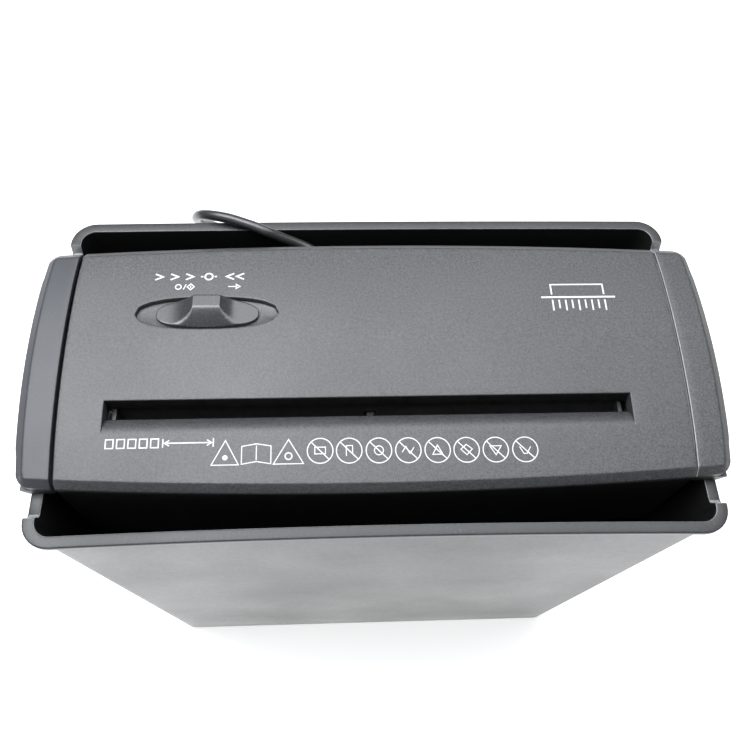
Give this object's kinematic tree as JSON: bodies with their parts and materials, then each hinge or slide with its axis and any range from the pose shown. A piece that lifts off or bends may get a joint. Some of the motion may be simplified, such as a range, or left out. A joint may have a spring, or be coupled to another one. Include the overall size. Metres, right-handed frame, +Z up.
{
  "type": "strip-cut paper shredder",
  "caption": "Desktop strip-cut paper shredder: a wide cutting head with a feed slot and slide switch, resting across the notched rim of a tapered waste bin, with its mains cord behind.",
  "frame": {"origin": "middle of the bin's underside, on the floor", "axes": "+X to the right seen from the front (along the feed slot), +Y to the back, +Z up"},
  "size_m": [0.303, 0.252, 0.2837],
  "materials": {
    "bin_plastic": "smooth satin moulded plastic",
    "cover_plastic": "fine spark texture",
    "arm_plastic": "smoother satin moulding",
    "housing_plastic": "plain black moulding",
    "slider_plastic": "polished",
    "steel": "zinc plated",
    "cutter_steel": "hardened, lightly oiled",
    "nylon": "natural nylon",
    "cord_rubber": "flexible sheath",
    "board": "solder resist",
    "film": "moulded box",
    "brass": "turned"
  },
  "bodies": {
    "bin": {"waste_bin": "bin_plastic", "cord_coil": "cord_rubber", "cord_tail": "cord_rubber", "mains_plug": "cord_rubber", "plug_pin_front": "brass", "plug_pin_back": "brass"},
    "head": {"top_cover": "cover_plastic", "right_end_cap": "cover_plastic", "lower_housing": "housing_plastic", "mode_switch": "housing_plastic", "paper_guide": "housing_plastic", "sensor_switch": "housing_plastic", "left_side_plate": "steel", "right_side_plate": "steel", "tie_rod_1": "steel", "tie_rod_2": "steel", "tie_rod_3": "steel", "tie_rod_4": "steel", "front_stripper_comb": "housing_plastic", "rear_stripper_comb": "housing_plastic", "front_left_bush": "nylon", "rear_left_bush": "nylon", "front_right_bush": "nylon", "rear_right_bush": "nylon", "motor_can": "steel", "motor_end_cap": "nylon", "motor_cradle": "housing_plastic", "second_gear_axle": "steel", "first_gear_axle": "steel", "gearbox_cover": "housing_plastic", "circuit_board": "board", "suppression_capacitor": "film", "relay": "housing_plastic", "fuse": "brass", "strain_relief": "cord_rubber", "power_cord": "cord_rubber", "housing_screw_1": "steel", "housing_screw_2": "steel", "housing_screw_3": "steel", "housing_screw_4": "steel"},
    "arm": {"extension_arm": "arm_plastic", "arm_end_cap": "arm_plastic"},
    "slider": {"switch_slider": "slider_plastic"},
    "rear_cutter_set": {"rear_cutter": "cutter_steel", "rear_sync_gear": "steel", "cutter_gear": "steel"},
    "front_cutter_set": {"front_cutter": "cutter_steel", "front_sync_gear": "steel"},
    "second_gear": {"second_reduction_gear": "nylon"},
    "first_gear": {"first_reduction_gear": "nylon"},
    "motor_rotor": {"motor_shaft": "steel", "motor_pinion": "brass"},
    "sensor_arm": {"paper_sensor_lever": "nylon"}
  },
  "joints": [
    {"name": "head_lift", "type": "slide", "parent": "bin", "child": "head", "axis": [0, 0, 1], "range_m": [0, 0.12]},
    {"name": "arm_slide", "type": "slide", "parent": "head", "child": "arm", "axis": [-1, 0, 0], "range_m": [0, 0.055]},
    {"name": "mode_slide", "type": "slide", "parent": "head", "child": "slider", "axis": [1, 0, 0], "range_m": [-0.007, 0.007]},
    {"name": "rear_cutter_spin", "type": "hinge", "parent": "head", "child": "rear_cutter_set", "pos_m": [0, -0.0131, 0.24], "axis": [1, 0, 0], "continuous": true},
    {"name": "front_cutter_spin", "type": "hinge", "parent": "head", "child": "front_cutter_set", "pos_m": [0, -0.0371, 0.24], "axis": [1, 0, 0], "continuous": true},
    {"name": "second_gear_spin", "type": "hinge", "parent": "head", "child": "second_gear", "pos_m": [0, 0.01289, 0.24365], "axis": [1, 0, 0], "continuous": true},
    {"name": "first_gear_spin", "type": "hinge", "parent": "head", "child": "first_gear", "pos_m": [0, 0.02612, 0.22658], "axis": [1, 0, 0], "continuous": true},
    {"name": "motor_spin", "type": "hinge", "parent": "head", "child": "motor_rotor", "pos_m": [0, 0.0341, 0.246], "axis": [1, 0, 0], "continuous": true},
    {"name": "sensor_lever", "type": "hinge", "parent": "head", "child": "sensor_arm", "pos_m": [-0.0032, -0.0145, 0.261], "axis": [1, 0, 0], "range_deg": [0, 20], "stiffness_Nm_per_rad": 0.0005, "springref_deg": -28.65}
  ],
  "couplings": [
    {"joint": "front_cutter_spin", "follows": "rear_cutter_spin", "ratio": -1},
    {"joint": "second_gear_spin", "follows": "rear_cutter_spin", "ratio": -2.5},
    {"joint": "first_gear_spin", "follows": "rear_cutter_spin", "ratio": 7.5},
    {"joint": "motor_spin", "follows": "rear_cutter_spin", "ratio": -30}
  ]
}
